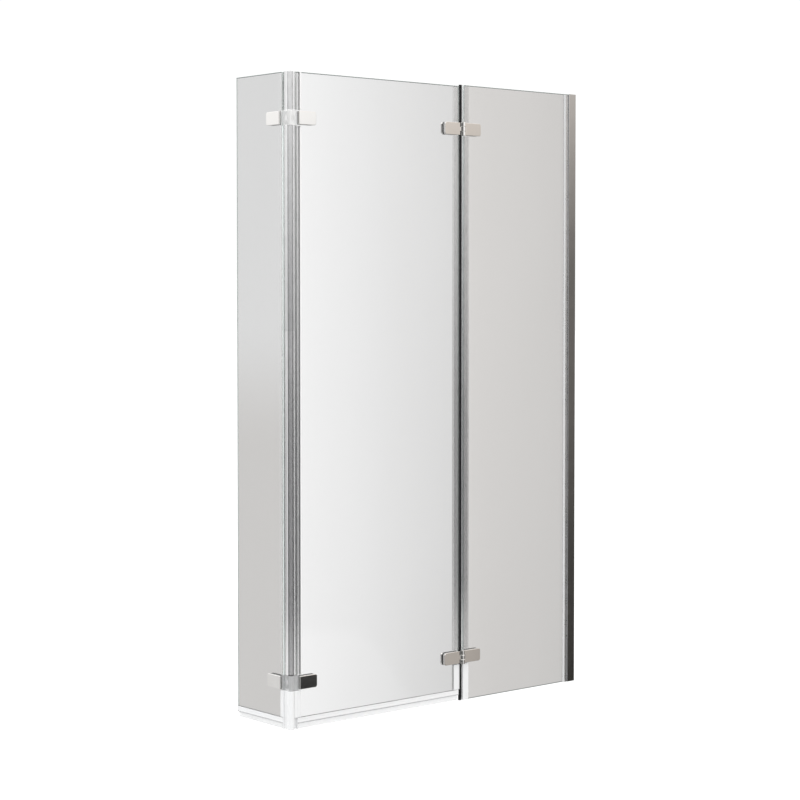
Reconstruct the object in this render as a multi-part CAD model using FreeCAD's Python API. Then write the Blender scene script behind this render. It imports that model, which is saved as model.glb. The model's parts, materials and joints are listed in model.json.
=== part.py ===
import FreeCAD, Part
import math
import os
from FreeCAD import Vector

# Folding L-shaped bath screen in millimetres: a fixed glass panel held in a wall profile,
# a middle panel hinged to it and a short return panel hinged to the middle one.
# X = 0 is the wall and the screen runs along -X. Y = 0 is the middle plane of the fixed
# glass, with the room at -Y and the bath at +Y. Z = 0 is the rim of the bath.

# Glass
screen_height = 1400.0
glass_thickness = 6.0
fixed_glass_width = 339.0
middle_glass_width = 463.0
return_glass_width = 163.0
rim_gap = 15.0
top_step = 3.0
glass_arris = 0.5
middle_gap = 16.5
corner_gap = 18.5

# Wall profile, and the inner profile that slides in it to follow an uneven wall
profile_depth = 23.0
profile_wall = 1.8
profile_mouth_round = 0.6
inner_depth = 17.0
inner_wall = 1.5
glazing_gasket = 1.5
slide_clearance = 0.2
wall_adjustment = 11.0
wall_hole_radius = 2.75
wall_hole_end = 100.0
wall_hole_inner_spacing = 400.0
cap_thickness = 2.0
cap_plug_depth = 12.0
cap_clearance = 0.2

# Screws that lock the inner profile, with their snap caps
side_screw_end = 150.0
side_screw_radius = 1.9
side_screw_head_radius = 3.4
side_screw_head_height = 2.0
side_screw_clearance = 0.1
snap_cap_wall = 0.8
snap_cap_clearance = 0.15

# Hinges
hinge_end = 100.0
leaf_height = 28.0
barrel_height = 31.0
leaf_length = 46.0
leaf_thickness = 5.0
clamp_thickness = 4.5
leaf_corner = 5.0
leaf_edge_round = 0.8
hinge_gasket = 1.0
gasket_inset = 0.5
axis_stand_off = 0.5
arm_thickness = 4.5
knuckle_radius = 5.5
knuckle_height = 10.0
knuckle_chamfer = 0.5
middle_barrel_clearance = 3.2
corner_barrel_clearance = 7.0
pin_radius = 2.5
pin_recess = 0.3
pin_chamfer = 0.4
bush_wall = 1.0
washer_thickness = 0.6
washer_inset = 0.6
washer_play = 0.1
running_clearance = 0.05
press_clearance = 0.02

# Clamp screws through the glass
glass_hole_radius = 6.0
sleeve_clearance = 0.2
clamp_screw_inset = 12.0
clamp_screw_radius = 2.5
clamp_screw_head_radius = 5.0
clamp_screw_recess = 0.2
clamp_screw_clearance = 0.25
thread_clearance = 0.05
head_clearance = 0.1
thread_floor = 1.2
thread_end_gap = 0.3
hex_socket_radius = 1.75
hex_socket_depth = 1.6

# Clear seals
seal_wall = 1.0
edge_seal_leg = 14.0
edge_seal_nose = 3.0
corner_seal_leg = 8.0
bottom_seal_leg = 10.0
seal_end_gap = 1.0
bulb_wall = 1.0
bulb_clearance = 0.4
corner_bulb_radius = 5.5
corner_bulb_margin = 1.5
wiper_rim_gap = 0.8
wiper_lean = 2.0
deflector_reach = 4.5
deflector_drop = 6.0

# Stations across the glass and along the wall
half_glass = glass_thickness / 2
inner_outside = half_glass + glazing_gasket + inner_wall
channel_inside = inner_outside + slide_clearance
profile_outside = channel_inside + profile_wall
inner_back = -(profile_wall + wall_adjustment)
inner_front = inner_back - inner_depth
fixed_glass_right = inner_back - inner_wall - glazing_gasket
fixed_glass_left = fixed_glass_right - fixed_glass_width

# Stations of a hinge, seen from its axis: a leaf runs along +X and its glass lies at +Y
leaf_near = axis_stand_off
leaf_far = leaf_near + leaf_thickness
glass_near = leaf_far + hinge_gasket
glass_far = glass_near + glass_thickness
clamp_near = glass_far + hinge_gasket
clamp_far = clamp_near + clamp_thickness
axis_offset = glass_near + half_glass
half_leaf = leaf_height / 2
half_barrel = barrel_height / 2
centre_knuckle_half = half_barrel - knuckle_height - washer_thickness - washer_play

# Hinge axes and the panels they carry
half_middle_gap = middle_gap / 2
half_corner_gap = corner_gap / 2
middle_axis = Vector(fixed_glass_left - half_middle_gap, -axis_offset, 0)
middle_glass_right = fixed_glass_left - middle_gap
middle_glass_left = middle_glass_right - middle_glass_width
corner_axis = Vector(middle_glass_left - half_corner_gap, axis_offset, 0)
return_plane = corner_axis.x - axis_offset
return_glass_front = corner_axis.y + half_corner_gap
return_glass_back = return_glass_front + return_glass_width
hinge_heights = {"lower": hinge_end, "upper": screen_height - hinge_end}
moving_top = screen_height - top_step
moving_seal_bottom = rim_gap + bottom_seal_leg + seal_end_gap

across = Vector(0, 1, 0)
upright = Vector(0, 0, 1)


def box(x0, x1, y0, y1, z0, z1):
    return Part.makeBox(x1 - x0, y1 - y0, z1 - z0, Vector(x0, y0, z0))


def post(radius, x, y, z0, z1):
    return Part.makeCylinder(radius, z1 - z0, Vector(x, y, z0), upright)


def cross_pin(radius, x, z, y0, y1):
    return Part.makeCylinder(radius, y1 - y0, Vector(x, y0, z), across)


def ring(outer, inner, z0, z1):
    return post(outer, 0, 0, z0, z1).cut(post(inner, 0, 0, z0, z1))


def edges_at(shape, test):
    return [edge for edge in shape.Edges if all(test(v.Point) for v in edge.Vertexes)]


def near(value, target):
    return abs(value - target) < 1e-6


def save(node, *solids):
    shape = solids[0] if len(solids) == 1 else Part.makeCompound(list(solids))
    shape.exportStep("parts/" + node + ".step")


def at_hinge(shape, axis, turn, height=0.0):
    """A shape drawn from a hinge axis, turned about it and set at its place."""
    placed = shape.copy()
    placed.rotate(Vector(0, 0, 0), upright, turn)
    placed.translate(axis + Vector(0, 0, height))
    return placed


def mirrored(shape):
    return shape.mirror(Vector(0, 0, 0), Vector(1, 0, 0))


# Hinge pieces, drawn from the axis


class Hinge:
    """One kind of hinge: where its plates start and end, counted from the axis."""

    def __init__(self, clearance):
        self.start = knuckle_radius + clearance
        self.end = self.start + leaf_length
        self.screw_stations = (self.start + clamp_screw_inset, self.end - clamp_screw_inset)

    def plate_outline(self, inset):
        """A plate's outline: square at the barrel, rounded at its free end."""
        start = self.start + inset
        end = self.end - inset
        top = half_leaf - inset
        turn = leaf_corner - inset
        inner = turn * (1 - math.sqrt(0.5))
        arc_top = Part.Arc(
            Vector(end, 0, top - turn),
            Vector(end - inner, 0, top - inner),
            Vector(end - turn, 0, top),
        )
        arc_bottom = Part.Arc(
            Vector(end - turn, 0, -top),
            Vector(end - inner, 0, inner - top),
            Vector(end, 0, turn - top),
        )
        return Part.Wire([
            Part.makeLine(Vector(start, 0, -top), Vector(end - turn, 0, -top)),
            arc_bottom.toShape(),
            Part.makeLine(Vector(end, 0, turn - top), Vector(end, 0, top - turn)),
            arc_top.toShape(),
            Part.makeLine(Vector(end - turn, 0, top), Vector(start, 0, top)),
            Part.makeLine(Vector(start, 0, top), Vector(start, 0, -top)),
        ])

    def flat_plate(self, y0, y1, inset=0.0):
        plate = Part.Face(self.plate_outline(inset)).extrude(Vector(0, y1 - y0, 0))
        plate.translate(Vector(0, y0, 0))
        return plate

    def eased_plate(self, y0, y1, shown):
        plate = self.flat_plate(y0, y1)
        rim = edges_at(plate, lambda p: near(p.y, shown))
        return plate.makeFillet(leaf_edge_round, rim)

    def screw_pins(self, radius, y0, y1):
        return [cross_pin(radius, x, 0, y0, y1) for x in self.screw_stations]

    def thread_holes(self, y0, y1):
        return self.screw_pins(clamp_screw_radius + thread_clearance, y0, y1)

    def passing_holes(self, y0, y1):
        return self.screw_pins(clamp_screw_radius + clamp_screw_clearance, y0, y1)

    def countersinks(self, face, inward):
        """Seats for the screw heads in the face at this Y, sunk the way inward points."""
        wide = clamp_screw_head_radius + head_clearance
        narrow = clamp_screw_radius + head_clearance
        direction = across * inward
        seats = []
        for x in self.screw_stations:
            mouth = Vector(x, face, 0)
            cone_start = mouth + direction * clamp_screw_recess
            seats.append(Part.makeCylinder(wide, clamp_screw_recess, mouth, direction))
            seats.append(Part.makeCone(wide, narrow, wide - narrow, cone_start, direction))
        return seats

    def clamp_screws(self, face, inward, tip):
        """Countersunk screws with hexagon sockets, from just under a face to their tips."""
        direction = across * inward
        screws = []
        for x in self.screw_stations:
            top = Vector(x, face, 0) + direction * clamp_screw_recess
            cone_height = clamp_screw_head_radius - clamp_screw_radius
            head = Part.makeCone(
                clamp_screw_head_radius, clamp_screw_radius, cone_height, top, direction
            )
            shank_start = top + direction * cone_height
            shank = Part.makeCylinder(
                clamp_screw_radius, abs(tip - shank_start.y), shank_start, direction
            )
            corners = [
                top + Vector(math.cos(a), 0, math.sin(a)) * hex_socket_radius
                for a in (i * math.pi / 3 for i in range(7))
            ]
            socket = Part.Face(Part.makePolygon(corners)).extrude(direction * hex_socket_depth)
            screws.append(head.fuse(shank).removeSplitter().cut(socket))
        return screws

    def knuckle(self, z0, z1, bore):
        """One knuckle with the arm that joins it to its plate, and its bore."""
        barrel = post(knuckle_radius, 0, 0, z0, z1)
        ends = [e for e in barrel.Edges if e.Closed]
        barrel = barrel.makeChamfer(knuckle_chamfer, ends)
        arm = box(
            0, self.start + leaf_edge_round, leaf_near, leaf_near + arm_thickness,
            max(z0, -half_leaf), min(z1, half_leaf),
        )
        return barrel.fuse(arm), post(bore, 0, 0, z0, z1)

    def leaf(self, spans, bore, holes):
        body = self.eased_plate(leaf_near, leaf_far, leaf_near)
        bores = []
        for z0, z1 in spans:
            barrel, hole = self.knuckle(z0, z1, bore)
            body = body.fuse(barrel)
            bores.append(hole)
        return body.removeSplitter().cut(bores + holes)

    def pair_leaf(self, holes):
        """The leaf with a knuckle at each end, fast on the pin."""
        return self.leaf(outer_spans, pin_radius + press_clearance, holes)

    def single_leaf(self, holes):
        """The leaf with the centre knuckle, which turns on the bush."""
        return mirrored(self.leaf(centre_span, bush_outside + press_clearance, holes))

    def clamp_plate(self, holes):
        return self.eased_plate(clamp_near, clamp_far, clamp_far).cut(holes)

    def glass_holes(self):
        return self.screw_pins(glass_hole_radius, glass_near, glass_far)

    def leaf_gasket(self):
        """The gasket under a leaf, with sleeves that line the glass holes."""
        sleeves = self.screw_pins(glass_hole_radius - sleeve_clearance, glass_near, glass_far)
        pad = self.flat_plate(leaf_far, glass_near, gasket_inset).fuse(sleeves).removeSplitter()
        return pad.cut(self.passing_holes(leaf_far, glass_far))

    def clamp_gasket(self):
        pad = self.flat_plate(glass_far, clamp_near, gasket_inset)
        return pad.cut(self.passing_holes(glass_far, clamp_near))


bush_bore = pin_radius + running_clearance
bush_outside = bush_bore + bush_wall
outer_spans = [
    (-half_barrel, knuckle_height - half_barrel),
    (half_barrel - knuckle_height, half_barrel),
]
centre_span = [(-centre_knuckle_half, centre_knuckle_half)]
leaf_floor = leaf_near + thread_floor
clamp_floor = clamp_far - thread_floor

# The middle hinge has its leaves outside, so the screw heads sit in the clamp plates. The
# corner hinge has its leaves inside the bath, so the heads sit in the leaves.
middle_hinge = Hinge(middle_barrel_clearance)
corner_hinge = Hinge(corner_barrel_clearance)
outside_threads = middle_hinge.thread_holes(leaf_floor, leaf_far)
outside_pair_leaf = middle_hinge.pair_leaf(outside_threads)
outside_single_leaf = middle_hinge.single_leaf(outside_threads)
screwed_plate = middle_hinge.clamp_plate(
    middle_hinge.passing_holes(clamp_near, clamp_far) + middle_hinge.countersinks(clamp_far, -1)
)
plate_screws = middle_hinge.clamp_screws(clamp_far, -1, leaf_floor + thread_end_gap)
inside_passes = (
    corner_hinge.passing_holes(leaf_near, leaf_far) + corner_hinge.countersinks(leaf_near, 1)
)
inside_pair_leaf = corner_hinge.pair_leaf(inside_passes)
inside_single_leaf = corner_hinge.single_leaf(inside_passes)
blind_plate = corner_hinge.clamp_plate(corner_hinge.thread_holes(clamp_near, clamp_floor))
leaf_screws = corner_hinge.clamp_screws(leaf_near, 1, clamp_floor - thread_end_gap)

hinge_pin = post(pin_radius, 0, 0, pin_recess - half_barrel, half_barrel - pin_recess)
hinge_pin = hinge_pin.makeChamfer(pin_chamfer, [e for e in hinge_pin.Edges if e.Closed])
hinge_bush = ring(bush_outside, bush_bore, -centre_knuckle_half, centre_knuckle_half)
washer_seat = half_barrel - knuckle_height
washer_ring = (knuckle_radius - washer_inset, pin_radius + running_clearance)
hinge_washers = [
    ring(*washer_ring, washer_seat - washer_thickness, washer_seat),
    ring(*washer_ring, -washer_seat, washer_thickness - washer_seat),
]


class Side:
    """One panel's half of a hinge pair: where it sits, how it is turned and its pieces."""

    def __init__(self, hinge, axis, turn, flipped):
        self.hinge = hinge
        self.axis = axis
        self.turn = turn
        self.flipped = flipped

    def place(self, shape, height=0.0):
        drawn = mirrored(shape) if self.flipped else shape
        return at_hinge(drawn, self.axis, self.turn, height)

    def place_leaf(self, shape, height):
        return at_hinge(shape, self.axis, self.turn, height)

    def at_both(self, *shapes):
        return [self.place(shape, z) for z in hinge_heights.values() for shape in shapes]


fixed_side = Side(middle_hinge, middle_axis, 0, False)
middle_hinge_side = Side(middle_hinge, middle_axis, 0, True)
middle_corner_side = Side(corner_hinge, corner_axis, 180, True)
return_side = Side(corner_hinge, corner_axis, 90, False)


# Glass panels


def glass_panel(x0, x1, y0, y1, z0, z1, *sides):
    pane = box(x0, x1, y0, y1, z0, z1)
    pane = pane.makeChamfer(glass_arris, pane.Edges)
    return pane.cut([hole for side in sides for hole in side.at_both(*side.hinge.glass_holes())])


fixed_glass = glass_panel(
    fixed_glass_left, fixed_glass_right, -half_glass, half_glass, 0, screen_height, fixed_side
)
middle_glass = glass_panel(
    middle_glass_left, middle_glass_right, -half_glass, half_glass, rim_gap, moving_top,
    middle_hinge_side, middle_corner_side,
)
return_glass = glass_panel(
    return_plane - half_glass, return_plane + half_glass, return_glass_front, return_glass_back,
    rim_gap, moving_top, return_side,
)


# Wall profile


def channel(back, front, inside, outside, web, z0, z1):
    """A channel open towards -X, with its web at the back."""
    hollow = box(front, back - web, -inside, inside, z0, z1)
    return box(front, back, -outside, outside, z0, z1).cut(hollow)


profile_top = screen_height - cap_thickness
middle_height = screen_height / 2
wall_hole_heights = [
    wall_hole_end,
    middle_height - wall_hole_inner_spacing / 2,
    middle_height + wall_hole_inner_spacing / 2,
    screen_height - wall_hole_end,
]
side_screw_heights = [side_screw_end, middle_height, screen_height - side_screw_end]
side_screw_x = (inner_back - profile_depth) / 2
side_screw_tip = half_glass + glazing_gasket + side_screw_clearance

wall_profile = channel(
    0, -profile_depth, channel_inside, profile_outside, profile_wall, 0, profile_top
)
mouth = edges_at(
    wall_profile, lambda p: near(p.x, -profile_depth) and near(abs(p.y), profile_outside)
)
mouth = [edge for edge in mouth if edge.Length > screen_height / 2]
wall_profile = wall_profile.makeFillet(profile_mouth_round, mouth)
wall_profile = wall_profile.cut([
    Part.makeCylinder(wall_hole_radius, profile_wall, Vector(-profile_wall, 0, z), Vector(1, 0, 0))
    for z in wall_hole_heights
])
inner_profile = channel(
    inner_back, inner_front, half_glass + glazing_gasket, inner_outside, inner_wall, 0, profile_top
)
side_holes = [
    cross_pin(side_screw_radius + side_screw_clearance, side_screw_x, z, 0, profile_outside)
    for z in side_screw_heights
]
wall_profile = wall_profile.cut(side_holes)
inner_profile = inner_profile.cut(side_holes)
gasket_back = inner_back - inner_wall
profile_gasket = channel(
    gasket_back, inner_front, half_glass, half_glass + glazing_gasket, glazing_gasket, 0, profile_top
)

cap_plate = box(-profile_depth, 0, -profile_outside, profile_outside, profile_top, screen_height)
cap_slot = box(
    -profile_depth, fixed_glass_right + cap_clearance,
    -half_glass - cap_clearance, half_glass + cap_clearance, profile_top, screen_height,
)
cap_plug = box(
    inner_back + cap_clearance, -profile_wall - cap_clearance,
    cap_clearance - channel_inside, channel_inside - cap_clearance,
    profile_top - cap_plug_depth, profile_top,
)
top_cap = cap_plate.cut(cap_slot).fuse(cap_plug).removeSplitter()


def side_screw(z):
    head_end = profile_outside + side_screw_head_height
    head = cross_pin(side_screw_head_radius, side_screw_x, z, profile_outside, head_end)
    head = head.makeFillet(
        side_screw_head_height / 3, edges_at(head, lambda p: near(p.y, head_end))
    )
    shank = cross_pin(side_screw_radius, side_screw_x, z, side_screw_tip, profile_outside)
    return head.fuse(shank).removeSplitter()


def snap_cap(z):
    inside = side_screw_head_radius + snap_cap_clearance
    hollow_end = profile_outside + side_screw_head_height + snap_cap_clearance
    outer_end = hollow_end + snap_cap_wall
    shell = cross_pin(inside + snap_cap_wall, side_screw_x, z, profile_outside, outer_end)
    shell = shell.makeFillet(snap_cap_wall, edges_at(shell, lambda p: near(p.y, outer_end)))
    return shell.cut(cross_pin(inside, side_screw_x, z, profile_outside, hollow_end))


# Seals, drawn from the hinge axis like the leaf that shares their glass edge


def seal_spans(bottom, top):
    """Heights of the seal lengths below, between and above the two hinges."""
    reach = half_barrel + seal_end_gap
    lower = hinge_heights["lower"]
    upper = hinge_heights["upper"]
    return [(bottom, lower - reach), (lower + reach, upper - reach), (upper + reach, top)]


def edge_channel(half_gap, leg, nose, z0, z1):
    """Clear channel on a glass edge, with legs on both faces and a nose past the edge."""
    shell = box(
        half_gap - nose, half_gap + leg, glass_near - seal_wall, glass_far + seal_wall, z0, z1
    )
    return shell.cut(box(half_gap, half_gap + leg, glass_near, glass_far, z0, z1))


def bulb_strip(z0, z1):
    """Hollow strip that stands on the fixed seal and reaches across the slot."""
    seat = half_middle_gap - edge_seal_nose
    crown = bulb_clearance - seat
    centre = crown + half_glass

    def filled(skin):
        core = box(centre, seat - skin, glass_near + skin, glass_far - skin, z0, z1)
        return core.fuse(post(half_glass - skin, centre, axis_offset, z0, z1))

    return filled(0).cut(filled(bulb_wall)).removeSplitter()


corner_reach = axis_offset + half_glass
corner_bulb_x = corner_reach - corner_bulb_radius - corner_bulb_margin
corner_bulb_y = corner_reach - corner_bulb_radius


def corner_bulb_seal(z0, z1):
    """Channel with a stem and a hollow bulb that fills the open corner."""
    body = edge_channel(half_corner_gap, corner_seal_leg, seal_wall, z0, z1)
    stem = box(
        -corner_bulb_x, half_corner_gap - seal_wall / 2,
        corner_bulb_y - seal_wall / 2, corner_bulb_y + seal_wall / 2, z0, z1,
    )
    bulb = post(corner_bulb_radius, -corner_bulb_x, corner_bulb_y, z0, z1)
    bore = post(corner_bulb_radius - seal_wall, -corner_bulb_x, corner_bulb_y, z0, z1)
    return body.fuse([stem, bulb]).cut(bore).removeSplitter()


def corner_fin_seal(z0, z1):
    """Channel with a fin that stops just short of the bulb."""
    body = edge_channel(half_corner_gap, corner_seal_leg, seal_wall, z0, z1)
    tip = corner_bulb_radius + bulb_clearance - corner_bulb_y
    fin = box(
        tip, half_corner_gap - seal_wall / 2,
        axis_offset - seal_wall / 2, axis_offset + seal_wall / 2, z0, z1,
    )
    return body.fuse(fin).removeSplitter()


def blade(start, end, thickness, x0, x1):
    """A thin straight blade between two points of the YZ plane, run along X."""
    along = (end - start).normalize()
    side = Vector(0, -along.z, along.y) * (thickness / 2)
    outline = Part.makePolygon([start - side, end - side, end + side, start + side, start - side])
    strip = Part.Face(outline).extrude(Vector(x1 - x0, 0, 0))
    strip.translate(Vector(x0, 0, 0))
    return strip


def bottom_seal(x0, x1):
    """Channel under a glass edge, with a wiper to the rim and a deflector on the bath side."""
    outside = half_glass + seal_wall
    floor = rim_gap - seal_wall
    shell = box(x0, x1, -outside, outside, floor, rim_gap + bottom_seal_leg)
    shell = shell.cut(box(x0, x1, -half_glass, half_glass, rim_gap, rim_gap + bottom_seal_leg))
    root = Vector(0, 0, floor + seal_wall / 2)
    wiper = blade(root, Vector(0, wiper_lean, wiper_rim_gap), seal_wall, x0, x1)
    corner = Vector(0, half_glass + seal_wall / 2, floor + seal_wall / 2)
    drip = corner + Vector(0, deflector_reach, -deflector_drop)
    return shell.fuse([wiper, blade(corner, drip, seal_wall, x0, x1)]).removeSplitter()


return_seal = bottom_seal(-return_glass_back, -return_glass_front)
return_seal.rotate(Vector(0, 0, 0), upright, -90)
return_seal.translate(Vector(return_plane, 0, 0))

os.makedirs("parts", exist_ok=True)

save("wall_profile", wall_profile)
save("inner_profile", inner_profile)
save("profile_gasket", profile_gasket)
save("profile_top_cap", top_cap)
save("side_fixing_screws", *[side_screw(z) for z in side_screw_heights])
save("side_screw_caps", *[snap_cap(z) for z in side_screw_heights])

save("fixed_glass", fixed_glass)
save("middle_glass", middle_glass)
save("return_glass", return_glass)

for place, height in hinge_heights.items():
    save(place + "_middle_hinge_fixed_leaf", fixed_side.place_leaf(outside_pair_leaf, height))
    save(place + "_middle_hinge_fixed_clamp", fixed_side.place(screwed_plate, height))
    save(place + "_middle_hinge_swing_leaf", middle_hinge_side.place_leaf(outside_single_leaf, height))
    save(place + "_middle_hinge_swing_clamp", middle_hinge_side.place(screwed_plate, height))
    save(place + "_middle_hinge_pin", fixed_side.place(hinge_pin, height))
    save(place + "_middle_hinge_bush", middle_hinge_side.place(hinge_bush, height))
    save(place + "_middle_hinge_washers", *[fixed_side.place(w, height) for w in hinge_washers])
    save(place + "_corner_hinge_middle_leaf", middle_corner_side.place_leaf(inside_single_leaf, height))
    save(place + "_corner_hinge_middle_plate", middle_corner_side.place(blind_plate, height))
    save(place + "_corner_hinge_return_leaf", return_side.place_leaf(inside_pair_leaf, height))
    save(place + "_corner_hinge_return_plate", return_side.place(blind_plate, height))
    save(place + "_corner_hinge_pin", return_side.place(hinge_pin, height))
    save(place + "_corner_hinge_bush", middle_corner_side.place(hinge_bush, height))
    save(place + "_corner_hinge_washers", *[return_side.place(w, height) for w in hinge_washers])

save("fixed_leaf_gaskets", *fixed_side.at_both(middle_hinge.leaf_gasket()))
save("fixed_clamp_gaskets", *fixed_side.at_both(middle_hinge.clamp_gasket()))
save("fixed_clamp_screws", *fixed_side.at_both(*plate_screws))
middle_sides = (middle_hinge_side, middle_corner_side)
save(
    "middle_leaf_gaskets",
    *[pad for side in middle_sides for pad in side.at_both(side.hinge.leaf_gasket())],
)
save(
    "middle_clamp_gaskets",
    *[pad for side in middle_sides for pad in side.at_both(side.hinge.clamp_gasket())],
)
save(
    "middle_clamp_screws",
    *middle_hinge_side.at_both(*plate_screws), *middle_corner_side.at_both(*leaf_screws),
)
save("return_leaf_gaskets", *return_side.at_both(corner_hinge.leaf_gasket()))
save("return_clamp_gaskets", *return_side.at_both(corner_hinge.clamp_gasket()))
save("return_clamp_screws", *return_side.at_both(*leaf_screws))


def seal_lengths(side, section, spans):
    return [side.place(section(z0, z1)) for z0, z1 in spans]


def hinge_edge_seal(z0, z1):
    return edge_channel(half_middle_gap, edge_seal_leg, edge_seal_nose, z0, z1)


fixed_spans = seal_spans(0, screen_height)
moving_spans = seal_spans(moving_seal_bottom, moving_top)
save("fixed_edge_seal", *seal_lengths(fixed_side, hinge_edge_seal, fixed_spans))
save("joint_bulb_strip", fixed_side.place(bulb_strip(0, screen_height)))
save("middle_edge_seal", *seal_lengths(middle_hinge_side, hinge_edge_seal, moving_spans))
save("middle_corner_seal", *seal_lengths(middle_corner_side, corner_bulb_seal, moving_spans))
save("return_corner_seal", *seal_lengths(return_side, corner_fin_seal, moving_spans))
save("middle_bottom_seal", bottom_seal(middle_glass_left, middle_glass_right))
save("return_bottom_seal", return_seal)
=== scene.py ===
import json
import math

import bmesh
import bpy
from mathutils import Matrix, Vector


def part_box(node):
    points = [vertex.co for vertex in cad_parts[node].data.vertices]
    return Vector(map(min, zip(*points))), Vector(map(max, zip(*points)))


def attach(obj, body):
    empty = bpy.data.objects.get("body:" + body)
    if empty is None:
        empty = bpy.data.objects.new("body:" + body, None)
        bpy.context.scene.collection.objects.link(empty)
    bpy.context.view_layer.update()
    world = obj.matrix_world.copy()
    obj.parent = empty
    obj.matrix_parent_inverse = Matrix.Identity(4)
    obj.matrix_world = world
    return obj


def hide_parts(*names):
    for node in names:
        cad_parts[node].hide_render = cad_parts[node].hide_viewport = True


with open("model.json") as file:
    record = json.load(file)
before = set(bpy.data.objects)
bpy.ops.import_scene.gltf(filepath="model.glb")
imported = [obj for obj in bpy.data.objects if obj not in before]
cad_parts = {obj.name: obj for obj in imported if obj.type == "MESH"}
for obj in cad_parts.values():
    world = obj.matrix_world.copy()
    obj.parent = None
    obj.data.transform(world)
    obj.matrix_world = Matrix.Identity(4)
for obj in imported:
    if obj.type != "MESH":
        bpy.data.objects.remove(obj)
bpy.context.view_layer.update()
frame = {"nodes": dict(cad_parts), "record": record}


class Wire:
    """A socket in a node tree. Arithmetic on it adds Math nodes to that tree."""

    def __init__(self, tree, socket=None):
        self.tree = tree
        self.socket = socket

    def node(self, kind, settings=None, sockets=None, out=0):
        """Adds any node: its settings first, then the values or links of its sockets."""
        made = self.tree.nodes.new("ShaderNode" + kind)
        for name, value in (settings or {}).items():
            if name == "stops":
                set_stops(made.color_ramp, value)
            else:
                setattr(made, name, value)
        for name, value in (sockets or {}).items():
            if isinstance(value, Wire):
                self.tree.links.new(value.socket, made.inputs[name])
            else:
                made.inputs[name].default_value = value
        return Wire(self.tree, made.outputs[out] if made.outputs else None)

    def sibling(self, out):
        """Another output of the same node."""
        return Wire(self.tree, self.socket.node.outputs[out])

    def math(self, operation, first, second):
        return self.node("Math", {"operation": operation}, {0: first, 1: second})

    def __add__(self, other):
        return self.math("ADD", self, other)

    def __radd__(self, other):
        return self.math("ADD", other, self)

    def __sub__(self, other):
        return self.math("SUBTRACT", self, other)

    def __rsub__(self, other):
        return self.math("SUBTRACT", other, self)

    def __mul__(self, other):
        return self.math("MULTIPLY", self, other)

    def __rmul__(self, other):
        return self.math("MULTIPLY", other, self)

    def __truediv__(self, other):
        return self.math("DIVIDE", self, other)

    def __pow__(self, other):
        return self.math("POWER", self, other)

    def __abs__(self):
        return self.node("Math", {"operation": "ABSOLUTE"}, {0: self})


def set_stops(ramp, stops):
    while len(ramp.elements) < len(stops):
        ramp.elements.new(0.5)
    for element, (place, colour) in zip(ramp.elements, stops):
        element.position = place
        element.color = colour


def grey(value):
    return (value, value, value, 1.0)


def between(value, low, high, shape="SMOOTHSTEP"):
    """0 below low, 1 above high, and smooth in between."""
    return value.node(
        "MapRange",
        {"interpolation_type": shape, "clamp": True},
        {"Value": value, "From Min": low, "From Max": high, "To Min": 0.0, "To Max": 1.0},
    )


def below(value, low, high, shape="SMOOTHSTEP"):
    """1 below low, 0 above high, and smooth in between."""
    return 1.0 - between(value, low, high, shape)


def band(value, start, full, fading, end):
    """1 from full to fading, 0 before start and after end."""
    return between(value, start, full) * below(value, fading, end)


def blend_colours(share, first, second):
    return share.node("Mix", {"data_type": "RGBA"}, {0: share, 6: first, 7: second}, out=2)


def new_finish(name):
    material = bpy.data.materials.new(name)
    material.use_nodes = True
    material.node_tree.nodes.clear()
    return material, Wire(material.node_tree)


def grain(start, stretch, detail=3.0):
    """Noise whose cells, in metres, are one over each number of stretch."""
    place = start.node("TexCoord", out="Object")
    placed = start.node("Mapping", {}, {"Vector": place, "Scale": stretch})
    return start.node("TexNoise", {}, {
        "Vector": placed, "Scale": 1.0, "Detail": detail, "Roughness": 0.55,
    })


def height_above_rim(start):
    place = start.node("TexCoord", out="Object")
    return start.node("SeparateXYZ", {}, {"Vector": place}, out="Z")


def coat_surface(start, sockets):
    shader = start.node("BsdfPrincipled", {}, sockets)
    start.node("OutputMaterial", {}, {"Surface": shader})


def bumped(height, strength, depth):
    return height.node("Bump", {}, {"Height": height, "Strength": strength, "Distance": depth})


# Glass in metres: half a pane's thickness, the ground arris at its foot and at its top, and the
# step in which the clear face turns into the ground edge
half_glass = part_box("fixed_glass")[1].y
foot_arris = 0.0008
top_arris = 0.002
edge_fade = 0.0002


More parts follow.
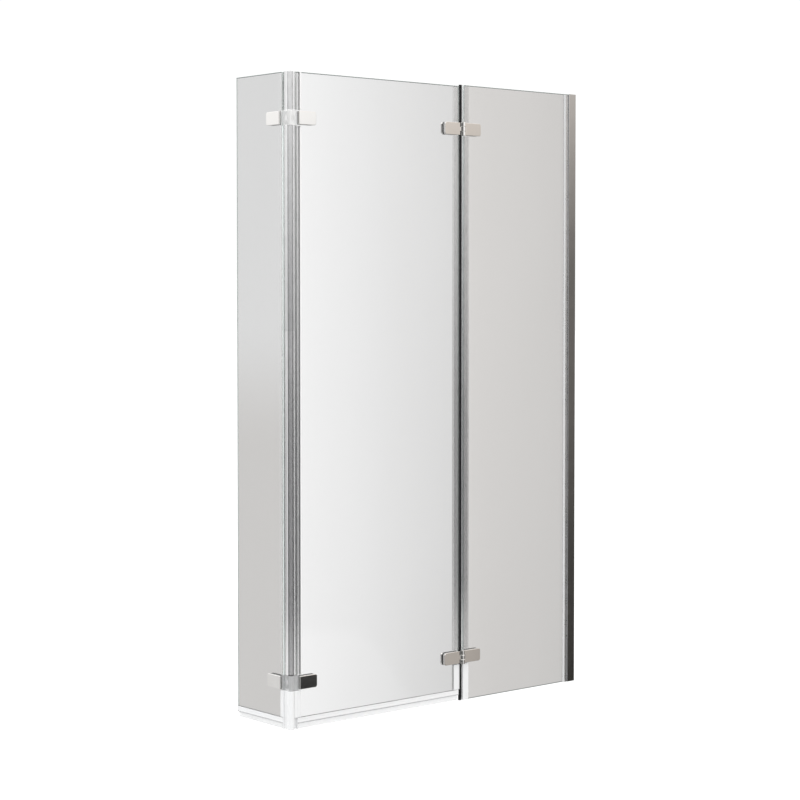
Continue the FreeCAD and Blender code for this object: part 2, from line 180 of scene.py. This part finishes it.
def clear_glass(pane, across, painted_edge_glow):
    """Toughened glass: clear faces with soft wipe marks, pale green ground edges whose upright parts glow
    with painted light, and dark grey arris bands at the top and foot, which are painted shade.
    """
    low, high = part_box(pane)
    material, start = new_finish("clear_" + pane)
    cloud = grain(start, (4.0, 4.0, 1.5), 2.0)
    grit = grain(start, (900.0, 900.0, 60.0), 3.0)
    height = height_above_rim(start)
    middle = ((low + high) / 2)["XYZ".index(across)]
    from_middle = abs(height.sibling(across) - middle)
    face = between(from_middle, half_glass - 2 * edge_fade, half_glass - edge_fade)
    foot = low.z + foot_arris
    top = high.z - top_arris
    upright = band(height, foot, foot + 2 * edge_fade, top, top + 2 * edge_fade)
    clear = start.node("BsdfPrincipled", {}, {
        "Base Color": blend_colours(cloud, (0.799, 0.785, 0.79, 1.0), (0.829, 0.815, 0.82, 1.0)),
        "Roughness": 0.0, "IOR": 1.5, "Transmission Weight": 1.0,
    })
    pale_edge_and_glow = blend_colours(grit, (0.86, 0.93, 0.90, 1.0), (0.95, 1.0, 0.98, 1.0))
    # Painted shade: the arris bands at the top and foot of each pane are dark grey, for the dark line
    # along those edges
    painted_shade_arris = (0.20, 0.225, 0.22, 1.0)
    ground = start.node("BsdfPrincipled", {}, {
        "Base Color": blend_colours(face, pale_edge_and_glow, painted_shade_arris),
        "Roughness": 0.16 + 0.14 * grit, "IOR": 1.5, "Normal": bumped(grit, 0.1, 0.0001),
        # Painted light: the upright ground edges glow in their pale colour, as strongly as the glow
        # argument says
        "Emission Color": blend_colours(upright * (1.0 - face), grey(0.0), pale_edge_and_glow),
        "Emission Strength": painted_edge_glow,
    })
    surface = start.node("MixShader", {}, {0: 1.0 - face * upright, 1: clear, 2: ground})
    inside = start.node("VolumeAbsorption", {}, {"Color": (0.62, 0.90, 0.80, 1.0), "Density": 9.0})
    start.node("OutputMaterial", {}, {"Surface": surface, "Volume": inside})
    return material


def polished_metal(name, dark, light, smooth, rough, lines):
    """Plated metal: fine drawn lines, cloudy wipe marks and a little spread in gloss."""
    material, start = new_finish(name)
    cloud = grain(start, (35.0, 35.0, 35.0))
    drawn = grain(start, lines, 2.0)
    coat_surface(start, {
        "Base Color": blend_colours(cloud, dark, light), "Metallic": 1.0,
        "Roughness": smooth + (rough - smooth) * cloud, "Normal": bumped(drawn, 0.05, 0.00005),
    })
    return material


def moulded(name, dark, light, smooth, rough, cells, ior=1.5):
    """Rubber or plastic: a fine mottled grain."""
    material, start = new_finish(name)
    mottle = grain(start, cells, 4.0)
    coat_surface(start, {
        "Base Color": blend_colours(mottle, dark, light),
        "Roughness": smooth + (rough - smooth) * mottle,
        "IOR": ior, "Normal": bumped(mottle, 0.2, 0.0001),
    })
    return material


# Heights between which the smoky seals turn clearer and brighter again, down to the lower hinges: painted
# light
fade_low = 0.12
fade_high = 0.30


def seal_plastic(name, dull, bright, thick, thin, rim, lines, fade=0.0):
    """Soft extruded seal: streaks along its length, painted light that makes it brighter and clearer
    near the top and, by fade, above the lower hinges, and denser where it turns away."""
    material, start = new_finish(name)
    streaks = grain(start, lines, 2.0)
    blotches = grain(start, (120.0, 120.0, 40.0), 1.0)
    height = height_above_rim(start)
    mottle = 0.35 * streaks + 0.15 * blotches
    # Painted light: the height terms make the seals brighter and clearer towards the top and just above
    # the lower hinges; the streaks and blotches are their own grain
    streaks_and_painted_light = between(mottle + 0.6 * height, 0.62, 1.12, "LINEAR")
    streaks_and_painted_light = streaks_and_painted_light + fade * below(height, fade_low, fade_high)
    turned_away = start.node("LayerWeight", {}, {"Blend": 0.5}, out="Facing")
    edge_cover = rim * turned_away ** 2.0 * (1.0 - 0.7 * streaks_and_painted_light)
    coat_surface(start, {
        "Base Color": blend_colours(streaks_and_painted_light, dull, bright),
        "Roughness": 0.1 + 0.12 * streaks_and_painted_light, "IOR": 1.46,
        "Alpha": thick + (thin - thick) * streaks_and_painted_light + edge_cover,
        "Normal": bumped(streaks, 0.15, 0.0002),
    })
    return material


long_streaks = (900, 900, 1.5)
short_streaks = (900, 900, 20)
milky_mottle = (60, 60, 25)
slot_finishes = {
    "profile_chrome": polished_metal(
        "bright_profile", (0.74, 0.745, 0.755, 1), (0.80, 0.805, 0.81, 1),
        smooth=0.04, rough=0.08, lines=(900, 900, 4)),
    "inner_aluminium": polished_metal(
        "satin_inner_profile", (0.60, 0.605, 0.61, 1), (0.68, 0.68, 0.685, 1),
        smooth=0.22, rough=0.34, lines=(1500, 1500, 4)),
    "cap_chrome": polished_metal(
        "plated_caps", (0.76, 0.765, 0.775, 1), (0.82, 0.825, 0.83, 1),
        smooth=0.08, rough=0.14, lines=(300, 300, 300)),
    "hinge_chrome": polished_metal(
        "plated_hinges", (0.76, 0.745, 0.725, 1), (0.81, 0.80, 0.785, 1),
        smooth=0.05, rough=0.10, lines=(500, 500, 500)),
    "screw_steel": polished_metal(
        "steel_screws", (0.55, 0.55, 0.56, 1), (0.66, 0.66, 0.66, 1),
        smooth=0.20, rough=0.32, lines=(1500, 1500, 1500)),
    "pin_steel": polished_metal(
        "ground_pins", (0.52, 0.52, 0.53, 1), (0.62, 0.62, 0.62, 1),
        smooth=0.14, rough=0.24, lines=(300, 300, 3000)),
    "bearing_nylon": moulded(
        "bearing_nylon", (0.72, 0.71, 0.67, 1), (0.82, 0.81, 0.78, 1),
        smooth=0.38, rough=0.5, cells=(900, 900, 900)),
    "hinge_gasket": moulded(
        "soft_clear_gaskets", (0.55, 0.56, 0.56, 1), (0.66, 0.66, 0.66, 1),
        smooth=0.45, rough=0.6, cells=(700, 700, 700)),
    "glazing_rubber": moulded(
        "glazing_rubber", (0.46, 0.465, 0.47, 1), (0.58, 0.58, 0.58, 1),
        smooth=0.45, rough=0.6, cells=(800, 800, 40)),
    "dark_bulb": moulded(
        "dark_bulb_rubber", (0.004, 0.004, 0.005, 1), (0.012, 0.012, 0.013, 1),
        smooth=0.4, rough=0.55, cells=(900, 900, 12), ior=1.2),
    "clear_seal": seal_plastic(
        "clear_seal", (0.60, 0.61, 0.61, 1), (0.80, 0.81, 0.81, 1),
        thick=0.12, thin=0.04, rim=0.30, lines=long_streaks),
}
smoky_seal = seal_plastic(
    "smoky_seal", (0.10, 0.10, 0.105, 1), (0.30, 0.30, 0.305, 1),
    thick=0.17, thin=0.04, rim=0.40, lines=long_streaks, fade=0.65)
# Darker and denser than the smoky seal: painted shade for the dark lines along the ribs; the corner fin
# and the bulb seal's outer lip take it too
smoky_seal_painted_shade = seal_plastic(
    "smoky_seal_painted_shade", (0.08, 0.08, 0.085, 1), (0.22, 0.22, 0.225, 1),
    thick=0.34, thin=0.12, rim=0.40, lines=long_streaks, fade=0.65)
smoky_bulb = seal_plastic(
    "smoky_bulb", (0.04, 0.04, 0.045, 1), (0.16, 0.16, 0.165, 1),
    thick=0.35, thin=0.10, rim=1.0, lines=long_streaks, fade=0.3)
frosted_seal = seal_plastic(
    "frosted_seal", (0.52, 0.525, 0.53, 1), (0.95, 0.95, 0.95, 1),
    thick=0.50, thin=0.32, rim=0.30, lines=short_streaks)
milky_seal = seal_plastic(
    "milky_seal", (0.75, 0.755, 0.76, 1), (0.83, 0.83, 0.83, 1),
    thick=0.92, thin=0.80, rim=0.10, lines=milky_mottle)
soft_wiper = seal_plastic(
    "soft_wiper", (0.80, 0.805, 0.81, 1), (0.88, 0.88, 0.88, 1),
    thick=0.46, thin=0.34, rim=0.22, lines=milky_mottle)
# The upright edges of the middle and return panes glow with painted light; the fixed pane's edges don't
pane_finishes = {
    "fixed_glass": clear_glass("fixed_glass", "Y", painted_edge_glow=0.0),
    "middle_glass": clear_glass("middle_glass", "Y", painted_edge_glow=0.15),
    "return_glass": clear_glass("return_glass", "X", painted_edge_glow=0.22),
}

for piece in frame["record"]["subparts"]:
    node = frame["nodes"][piece["node"]]
    node.data.materials.clear()
    if piece["node"] in pane_finishes:
        node.data.materials.append(pane_finishes[piece["node"]])
    else:
        node.data.materials.append(slot_finishes[piece["material_slot"]])

# Seals. Each is drawn from the glass edge that it grips, in metres: X points into the glass, Y
# through it and Z along the edge.
grip_gap = 0.00006
seal_wall = 0.001
bend_round = 0.0008
lip_wall = 0.0005
tip_share = 0.35
rib_height = 0.0003
rib_slope = 0.0003
seal_end_gap = 0.0013
crease_angle = math.radians(38.0)
inside_face = half_glass + grip_gap
outside_face = inside_face + seal_wall


def glass_edge(corner, inward, through, along):
    """The place of a pane's edge: its middle line, and the ways into, through and along the pane."""
    turned = Matrix((inward, through, along)).transposed().to_4x4()
    return Matrix.Translation(corner) @ turned


def top_verts(made):
    """The corners that an extrusion has just made."""
    return [part for part in made["geom"] if isinstance(part, bmesh.types.BMVert)]


def bent_strip(path, low, high, wall, turn):
    """A strip from low to high whose outside follows the path, round at its bends."""
    shape = bmesh.new()
    corners = [shape.verts.new((x, y, low)) for x, y in path]
    runs = [shape.edges.new(pair) for pair in zip(corners, corners[1:])]
    raised = top_verts(bmesh.ops.extrude_edge_only(shape, edges=runs))
    bmesh.ops.translate(shape, verts=raised, vec=(0.0, 0.0, high - low))
    bmesh.ops.recalc_face_normals(shape, faces=shape.faces)
    bends = [edge for edge in shape.edges if len(edge.link_faces) == 2]
    bmesh.ops.bevel(
        shape, geom=bends, offset=turn, offset_type="OFFSET", segments=3, profile=0.5,
        affect="EDGES", material=-1,
    )
    bmesh.ops.solidify(shape, geom=list(shape.faces), thickness=wall)
    return shape


def flat_bar(x0, x1, y0, y1, low, high):
    """A thin bar, tapered to about a third of its thickness at x1."""
    shape = bmesh.new()
    bmesh.ops.create_cube(shape, size=1.0)
    bmesh.ops.scale(shape, verts=shape.verts, vec=(x1 - x0, y1 - y0, high - low))
    tip = [vert for vert in shape.verts if vert.co.x * (x1 - x0) > 0]
    bmesh.ops.scale(shape, verts=tip, vec=(1.0, tip_share, 1.0))
    bmesh.ops.translate(
        shape, verts=shape.verts, vec=((x0 + x1) / 2, (y0 + y1) / 2, (low + high) / 2)
    )
    return shape


def lean(bar, drop, reach):
    """Moves the tip of a bar that hangs down by drop sideways by reach."""
    tip = [vert for vert in bar.verts if vert.co.x < -drop / 2]
    bmesh.ops.translate(bar, verts=tip, vec=(0.0, reach, 0.0))


def tube(x, y, radius, wall, low, high):
    """A hollow round tube that stands along Z."""
    shape = bmesh.new()
    for size in (radius, radius - wall):
        bmesh.ops.create_circle(shape, cap_ends=False, segments=40, radius=size)
    bmesh.ops.bridge_loops(shape, edges=shape.edges)
    raised = top_verts(bmesh.ops.extrude_face_region(shape, geom=shape.faces))
    bmesh.ops.translate(shape, verts=raised, vec=(0.0, 0.0, high - low))
    bmesh.ops.translate(shape, verts=shape.verts, vec=(x, y, low))
    return shape


def finished(shapes, slot):
    """Gives all faces of the shapes one of their piece's finishes."""
    for shape in shapes:
        for face in shape.faces:
            face.material_index = slot
    return shapes


def leg_faces(shape, side):
    """The outside faces of a channel's leg on one side of the glass, in order from its web."""
    faces_out = 0.9
    found = [
        face for face in shape.faces
        if face.normal.y * side > faces_out and face.calc_center_median().y * side > inside_face
    ]
    return sorted(found, key=lambda face: face.calc_center_median().x)


def add_ribs(shape, count, slot):
    """Raises low ribs along the outside of both legs of a channel, in a finish of their own."""
    for side in (1.0, -1.0):
        rungs = [
            edge for edge in {edge for face in leg_faces(shape, side) for edge in face.edges}
            if abs(edge.verts[0].co.x - edge.verts[1].co.x) > seal_wall
        ]
        bmesh.ops.subdivide_edges(shape, edges=rungs, cuts=2 * count)
        ribs = leg_faces(shape, side)[1::2]
        bmesh.ops.inset_individual(shape, faces=ribs, thickness=rib_slope, depth=rib_height)
        for face in ribs:
            face.material_index = slot


def channel(leg, web, ribs, low, high, slot=0, rib_slot=0):
    """A channel on a glass edge, with ribbed legs on both faces."""
    path = [(leg, outside_face), (-web, outside_face), (-web, -outside_face), (leg, -outside_face)]
    shape = bent_strip(path, low, high, seal_wall, bend_round)
    bmesh.ops.recalc_face_normals(shape, faces=shape.faces)
    finished([shape], slot)
    add_ribs(shape, ribs, rib_slot)
    return shape


def lips(leg, reach, low, high):
    """Lips that carry on from both legs of a channel and lie on the glass."""
    return [
        flat_bar(
            leg + grip_gap, leg + reach, side * inside_face, side * (inside_face + lip_wall), low, high
        )
        for side in (1.0, -1.0)
    ]


def flange(web, reach, side, low, high):
    """A fin that carries a channel's leg on past its web."""
    return flat_bar(-web - grip_gap, -reach, side * inside_face, side * outside_face, low, high)


def seal_piece(name, shapes, edge, body, slot, finishes, *nodes):
    """Joins shapes into a piece, sets it on its glass edge and lets it stand for its nodes."""
    whole = bmesh.new()
    for shape in shapes:
        part = bpy.data.meshes.new(name)
        shape.to_mesh(part)
        whole.from_mesh(part)
        bpy.data.meshes.remove(part)
        shape.free()
    bmesh.ops.transform(whole, matrix=edge, verts=whole.verts)
    bmesh.ops.recalc_face_normals(whole, faces=whole.faces)
    for face in whole.faces:
        face.smooth = True
    mesh = bpy.data.meshes.new(name)
    whole.to_mesh(mesh)
    whole.free()
    mesh.set_sharp_from_angle(angle=crease_angle)
    for finish in finishes:
        mesh.materials.append(finish)
    piece = bpy.data.objects.new(name, mesh)
    bpy.context.scene.collection.objects.link(piece)
    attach(piece, body)
    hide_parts(*nodes)


lower_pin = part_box("lower_middle_hinge_pin")
upper_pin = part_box("upper_middle_hinge_pin")
hinge_reach = seal_end_gap - grip_gap
hinge_spans = [(pin[0].z - hinge_reach, pin[1].z + hinge_reach) for pin in (lower_pin, upper_pin)]


def seal_spans(node):
    """The stretches of a seal below, between and above the two hinges."""
    low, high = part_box(node)
    return [
        (low.z, lower_pin[0].z - seal_end_gap),
        (lower_pin[1].z + seal_end_gap, upper_pin[0].z - seal_end_gap),
        (upper_pin[1].z + seal_end_gap, high.z),
    ]


right = Vector((1.0, 0.0, 0.0))
back = Vector((0.0, 1.0, 0.0))
up = Vector((0.0, 0.0, 1.0))
fixed_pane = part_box("fixed_glass")
middle_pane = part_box("middle_glass")
return_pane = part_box("return_glass")
return_plane = (return_pane[0].x + return_pane[1].x) / 2
fixed_edge = glass_edge((fixed_pane[0].x, 0.0, 0.0), right, back, up)
middle_joint_edge = glass_edge((middle_pane[1].x, 0.0, 0.0), -right, back, up)
middle_corner_edge = glass_edge((middle_pane[0].x, 0.0, 0.0), right, back, up)
return_corner_edge = glass_edge((return_plane, return_pane[0].y, 0.0), back, -right, up)
middle_sill = glass_edge((0.0, 0.0, middle_pane[0].z), up, back, right)
return_sill = glass_edge((return_plane, 0.0, return_pane[0].z), up, right, back)
glazing_edge = glass_edge((fixed_pane[1].x, 0.0, 0.0), -right, back, up)

# The finishes of the upright seals, in the order of their slots
clear, smoky, smoky_painted_shade, milky, frosted, dark, soft = range(7)
seal_finishes = [
    slot_finishes["clear_seal"], smoky_seal, smoky_seal_painted_shade, milky_seal, frosted_seal, smoky_bulb,
    soft_wiper,
]

# Joint between the fixed and the middle pane
joint_leg = 0.014
joint_web = 0.0012
joint_flange = 0.003
joint_lip = 0.0022
joint_ribs = 3


def joint_seal(node):
    """A ribbed channel with two flanges and two lips: smoky, but milky below the hinges."""
    shapes = []
    spans = seal_spans(node)
    for span in spans:
        lowest = span == spans[0]
        leg_slot, rib_slot = (milky, milky) if lowest else (smoky, smoky_painted_shade)
        grip = channel(joint_leg, joint_web, joint_ribs, *span, leg_slot, rib_slot)
        flanges = [flange(joint_web, joint_flange, side, *span) for side in (1.0, -1.0)]
        shapes += [grip] + finished(flanges, leg_slot)
        shapes += finished(lips(joint_leg, joint_lip, *span), clear)
        for face in grip.faces:
            if lowest and face.calc_center_median().y > half_glass:
                face.material_index = soft
    return shapes


seal_piece(
    "fixed_joint_seal", joint_seal("fixed_edge_seal"), fixed_edge, "wall_side", "clear_seal",
    seal_finishes, "fixed_edge_seal",
)
seal_piece(
    "middle_joint_seal", joint_seal("middle_edge_seal"), middle_joint_edge, "middle_panel", "clear_seal",
    seal_finishes, "middle_edge_seal",
)

# Dark bulb strip that closes the joint, on a smoky neck
strip_low, strip_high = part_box("joint_bulb_strip")
bulb_radius = (strip_high.y - strip_low.y) / 2
bulb_wall = 0.001
bulb_middle = bulb_radius - (fixed_pane[0].x - strip_low.x)
bulb_stretch = 0.0016
neck_wall = 0.0022
neck_end = bulb_middle + bulb_stretch + bulb_radius + grip_gap
neck_slot = 1
strip = tube(bulb_middle, 0.0, bulb_radius, bulb_wall, strip_low.z, strip_high.z)
seat_half = [vert for vert in strip.verts if vert.co.x > bulb_middle]
bmesh.ops.translate(strip, verts=seat_half, vec=(bulb_stretch, 0.0, 0.0))
neck = flat_bar(
    -joint_web - grip_gap, neck_end, -neck_wall / 2, neck_wall / 2, strip_low.z, strip_high.z
)
seal_piece(
    "joint_bulb", [strip] + finished([neck], neck_slot), fixed_edge, "wall_side", "dark_bulb",
    [slot_finishes["dark_bulb"], smoky_seal], "joint_bulb_strip",
)

# Corner between the middle and the return pane, where the seals run on past the hinges
corner_leg = 0.008
corner_web = 0.001
corner_flange = 0.009
corner_lip = 0.0045
corner_ribs = 2
corner_bulb = 0.0065
corner_bulb_x = -0.0136
corner_bulb_y = 0.0015
fin_wall = 0.0009
fin_reach = 0.0122
hinge_leg = 0.0024
corner_foot = 0.0015
open_share = 0.7
barrel_low, barrel_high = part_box("lower_corner_hinge_pin")
barrel = (barrel_low + barrel_high) / 2
toward_barrel = Vector((barrel.x - middle_pane[0].x - corner_bulb_x, barrel.y - corner_bulb_y, 0.0))
toward_barrel.normalize()


def bulb_stem(low, high):
    """The thin wall from the channel's web to the bulb."""
    stem_end = corner_bulb_x + corner_bulb + grip_gap
    stem_side = corner_bulb_y + fin_wall / 2
    return flat_bar(-corner_web - grip_gap, stem_end, stem_side - fin_wall, stem_side, low, high)


def corner_fin(low, high):
    """The fin of the return pane's seal, which lies behind the bulb."""
    return flat_bar(-corner_web - grip_gap, -fin_reach, -fin_wall / 2, fin_wall / 2, low, high)


def bulb_seal(leg, low, high, slot, rib_slot, stem_slot):
    """The middle pane's corner seal, without its bulb."""
    grip = channel(leg, corner_web, corner_ribs, low, high, slot, rib_slot)
    outer_lip = flange(corner_web, corner_flange, -1.0, low, high)
    return [grip] + finished([bulb_stem(low, high)], stem_slot) + finished([outer_lip], rib_slot)


def fin_seal(leg, low, high, slot, fin_slot):
    """The return pane's corner seal."""
    grip = channel(leg, corner_web, corner_ribs, low, high, slot, slot)
    return [grip] + finished([corner_fin(low, high)], fin_slot)


def bulb_round(low, high):
    return tube(corner_bulb_x, corner_bulb_y, corner_bulb, seal_wall, low, high)


def opened_bulb(low, high):
    """The bulb beside a hinge, cut open to clear the barrel."""
    shape = bulb_round(low, high)
    centre = Vector((corner_bulb_x, corner_bulb_y, low))
    cut = bmesh.ops.bisect_plane(
        shape, geom=list(shape.verts) + list(shape.edges) + list(shape.faces),
        plane_co=centre + toward_barrel * corner_bulb * open_share, plane_no=toward_barrel,
        clear_outer=True,
    )
    rims = [part for part in cut["geom_cut"] if isinstance(part, bmesh.types.BMEdge)]
    bmesh.ops.edgeloop_fill(shape, edges=rims)
    return shape


def seal_foot(low, high):
    """Carries a channel's web on past the sill seal and down to the bath."""
    return flat_bar(-grip_gap, -corner_web, -outside_face, outside_face, low, high - grip_gap)


bulb_shapes = []
fin_shapes = []
below_hinges, *past_hinges = seal_spans("middle_corner_seal")
for span in past_hinges:
    bulb_shapes += bulb_seal(corner_leg, *span, smoky, smoky_painted_shade, clear)
    bulb_shapes += finished([bulb_round(*span)], dark)
    bulb_shapes += finished(lips(corner_leg, corner_lip, *span), milky)
    fin_shapes += fin_seal(corner_leg, *span, clear, smoky_painted_shade)
seal_low, seal_high = below_hinges
bulb_shapes += bulb_seal(corner_leg, *below_hinges, milky, milky, milky)
bulb_foot = [bulb_round(corner_foot, seal_high), bulb_stem(corner_foot, seal_low - grip_gap)]
bulb_shapes += finished(bulb_foot + [seal_foot(corner_foot, seal_low)], milky)
fin_shapes += fin_seal(corner_leg, *below_hinges, milky, milky)
fin_foot = [corner_fin(corner_foot, seal_low - grip_gap), seal_foot(corner_foot, seal_low)]
fin_shapes += finished(fin_foot, milky)
for span in hinge_spans:
    bulb_shapes += bulb_seal(hinge_leg, *span, frosted, frosted, frosted)
    bulb_shapes += finished([opened_bulb(*span)], frosted)
    fin_shapes += fin_seal(hinge_leg, *span, frosted, frosted)
seal_piece(
    "corner_bulb_seal", bulb_shapes, middle_corner_edge, "middle_panel", "clear_seal",
    seal_finishes, "middle_corner_seal",
)
seal_piece(
    "corner_fin_seal", fin_shapes, return_corner_edge, "return_panel", "clear_seal",
    seal_finishes, "return_corner_seal",
)

# Sill seals under the moving panes
sill_leg = 0.010
sill_web = 0.001
sill_ribs = 1
wiper_wall = 0.0008
wiper_drop = 0.0142
wiper_lean = 0.002
seam_drop = 0.0022
seam_wall = 0.0004
deflector_reach = 0.0047
deflector_drop = 0.0065
seam_slot = 1
wiper_slot = 2
sill_finishes = [milky_seal, frosted_seal, soft_wiper]


def sill_seal(start, end):
    """A milky channel with a soft wiper below, a deflector on the bath side and a seam line outside."""
    grip = channel(sill_leg, sill_web, sill_ribs, start, end)
    wiper = flat_bar(-sill_web - grip_gap, -wiper_drop, -wiper_wall / 2, wiper_wall / 2, start, end)
    lean(wiper, wiper_drop, wiper_lean)
    deflector_side = outside_face + wiper_wall
    deflector = flat_bar(-grip_gap, -deflector_drop, outside_face + grip_gap, deflector_side, start, end)
    lean(deflector, deflector_drop, deflector_reach)
    seam = flat_bar(-grip_gap, -seam_drop, -outside_face - seam_wall, -outside_face - grip_gap, start, end)
    return [grip, deflector] + finished([seam], seam_slot) + finished([wiper], wiper_slot)


seal_piece(
    "middle_sill_seal", sill_seal(middle_pane[0].x, middle_pane[1].x), middle_sill, "middle_panel",
    "clear_seal", sill_finishes, "middle_bottom_seal",
)
seal_piece(
    "return_sill_seal", sill_seal(return_pane[0].y, return_pane[1].y), return_sill, "return_panel",
    "clear_seal", sill_finishes, "return_bottom_seal",
)

# Glazing strip between the fixed pane and the inner profile, with lips at the mouth
glazing_low, glazing_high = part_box("profile_gasket")
glazing_face = glazing_high.y - grip_gap
glazing_mouth = fixed_pane[1].x - glazing_low.x
glazing_web = glazing_high.x - fixed_pane[1].x - grip_gap
glazing_wall = glazing_face - inside_face
glazing_lip = 0.0062
glazing_back_lip = 0.0006
glazing_path = [
    (glazing_mouth, glazing_face), (-glazing_web, glazing_face),
    (-glazing_web, -glazing_face), (glazing_mouth, -glazing_face),
]
glazing_shapes = [bent_strip(glazing_path, glazing_low.z, glazing_high.z, glazing_wall, bend_round)]
for side, reach in ((-1.0, glazing_lip), (1.0, glazing_back_lip)):
    glazing_shapes.append(flat_bar(
        glazing_mouth + grip_gap, glazing_mouth + reach, side * inside_face,
        side * (glazing_face + seal_wall), glazing_low.z, glazing_high.z,
    ))
seal_piece(
    "glazing_strip", glazing_shapes, glazing_edge, "wall_side", "glazing_rubber",
    [slot_finishes["glazing_rubber"]], "profile_gasket",
)

# Studio: what mirrors see, what shows through the glass and the plain white behind. Turn is the
# angle to the right of straight ahead or straight behind, and rise the angle up from level, both
# in degrees.
world = bpy.data.worlds.new("studio")
bpy.context.scene.world = world
world.use_nodes = True
world.node_tree.nodes.clear()
studio = Wire(world.node_tree)
toward = studio.node("TexCoord", out="Generated")
rightward = studio.node("SeparateXYZ", {}, {"Vector": toward}, out="X")
backward = rightward.sibling("Y")
upward = rightward.sibling("Z")
turn = studio.math("ARCTAN2", rightward, abs(backward)) * math.degrees(1.0)
rise = studio.node("Math", {"operation": "ARCSINE"}, {0: upward}) * math.degrees(1.0)

# A room that is dark at the floor and bright overhead, as a plain number
floor_rise = -15.0
ramp_span = 40.0
room = studio.node(
    "ValToRGB",
    {"stops": [
        (0.00, grey(0.02)), (0.10, grey(0.035)), (0.19, grey(0.06)), (0.295, grey(0.135)),
        (0.40, grey(0.18)), (0.465, grey(0.38)), (0.525, grey(0.63)), (0.75, grey(1.0)),
    ]},
    {"Fac": (rise - floor_rise) / ramp_span},
) + 0.0
side_blur = 0.02
in_front = below(backward, -side_blur, side_blur)
at_back = 1.0 - in_front
to_left = below(rightward, -side_blur, side_blur)

# A tall window in front on the right with a faint light at its far end and a warm glow below it, a
# broad light in front on the left, pale walls behind and on the right, a bright ceiling, and dark
# panels at eye level on the left and behind
sill_rise = -9.7 - 2.0 * between(turn, 39.4, 41.4)
window = 0.68 * below(turn, 37.6, 45.2, "LINEAR") * between(turn, 2.0, 14.0)
window = window * between(rise - sill_rise, -0.3, 0.3) * below(rise, 22.0, 34.0)
far_light = 0.08 * between(turn, 41.9, 43.1, "LINEAR") * below(turn, 43.3, 44.6)
glow = 0.21 * band(turn, 40.4, 41.4, 43.4, 44.6) * below(rise, -9.5, -7.5)
front_left = 0.8 * below(turn, 0.0, 14.0) * between(rise, -40.0, -15.0)
front = window + far_light + glow + front_left
pale_wall = 0.64 + 0.15 * below(rise, -6.0, 0.0)
pale_back = 0.5 * below(rise, -4.0, 8.0)
behind = pale_wall * to_left + pale_back * (1.0 - to_left)
pale_side = 0.6 * between(turn, 54.0, 64.0) * below(rise, 0.0, 15.0)
overhead = 0.6 * between(rise, 28.0, 50.0)
left_panel = below(turn, -38.0, -28.0) * in_front + below(turn, -66.0, -58.0) * at_back
right_panel = band(turn, 30.0, 35.0, 50.0, 55.0) * at_back
narrow_panel = band(turn, -43.9, -43.3, -40.9, -40.2) * at_back
eye_level = band(rise, -13.0, -11.0, 14.0, 20.0)
shade = 1.0 - (0.85 * (left_panel + right_panel) + 0.7 * narrow_panel) * eye_level
mirrored = (room + front * in_front + behind * at_back + pale_side) * shade + overhead

# The tones that show through the glass, less what the glass itself mirrors
glass_mirror = 0.09
glass_pass = 0.735
joint_turn = 42.3
past_corner = between(turn, 37.3, 37.8)
right_part = 0.90 - 0.21 * between(turn, 37.7, joint_turn, "LINEAR")
right_part = right_part - 0.09 * between(turn, joint_turn, 45.3, "LINEAR") + 0.0035 * (rise + 3.0)
lower_left = below(rise, -4.6, -0.8)
left_part = 0.714 - 0.094 * lower_left
tone = left_part * (1.0 - past_corner) + right_part * past_corner
glint = room + front * past_corner + pale_wall * (1.0 - past_corner)
through = (tone - glass_mirror * glint) / glass_pass

# What each kind of ray sees: plain white straight on, the tones through glass, or the studio
plain_white = 1.05
warm_light = (1.0, 0.925, 0.855, 1.0)
warm_glass = (0.985, 0.965, 0.947, 1.0)
seen_direct = studio.node("LightPath", out="Is Camera Ray")
seen_through = seen_direct.sibling("Is Transmission Ray")
level = mirrored * (1.0 - seen_through) + through * seen_through
level = level * (1.0 - seen_direct) + plain_white * seen_direct
light_warmth = between(turn, 39.6, 41.0) * in_front * (1.0 - seen_direct) * (1.0 - seen_through)
glass_warmth = (between(turn, 42.1, 42.4) + lower_left * (1.0 - past_corner)) * seen_through
tint = blend_colours(light_warmth, grey(1.0), warm_light)
tint = blend_colours(glass_warmth, tint, warm_glass)
background = studio.node("Background", {}, {"Color": tint, "Strength": level})
studio.node("OutputWorld", {}, {"Surface": background})

# Floor, just clear of the part
floor_radius = 40.0
floor_drop = 0.0006
floor_mesh = bpy.data.meshes.new("floor")
floor_shape = bmesh.new()
bmesh.ops.create_circle(floor_shape, cap_ends=True, segments=96, radius=floor_radius)
bmesh.ops.translate(floor_shape, verts=floor_shape.verts, vec=(0.0, 0.0, -floor_drop))
floor_shape.to_mesh(floor_mesh)
floor_shape.free()
floor = bpy.data.objects.new("floor", floor_mesh)
bpy.context.scene.collection.objects.link(floor)
floor_finish, start = new_finish("pale_floor")
coat_surface(start, {
    "Base Color": grey(0.12), "Roughness": 0.9, "Emission Color": grey(1.0), "Emission Strength": 0.94,
})
floor_mesh.materials.append(floor_finish)
floor.visible_glossy = False
floor.visible_transmission = False

# Camera at the photograph's angle
lens_data = bpy.data.cameras.new("camera")
lens_data.sensor_width = 36.0
lens_data.lens = 90.6
lens_data.shift_y = -0.0508
camera = bpy.data.objects.new("camera", lens_data)
camera.location = (-3.4476, -3.3776, 0.9385)
camera.rotation_euler = (math.radians(88.0), 0.0, math.radians(-40.687))
bpy.context.scene.collection.objects.link(camera)
bpy.context.scene.camera = camera
bpy.context.scene.view_settings.view_transform = "Standard"
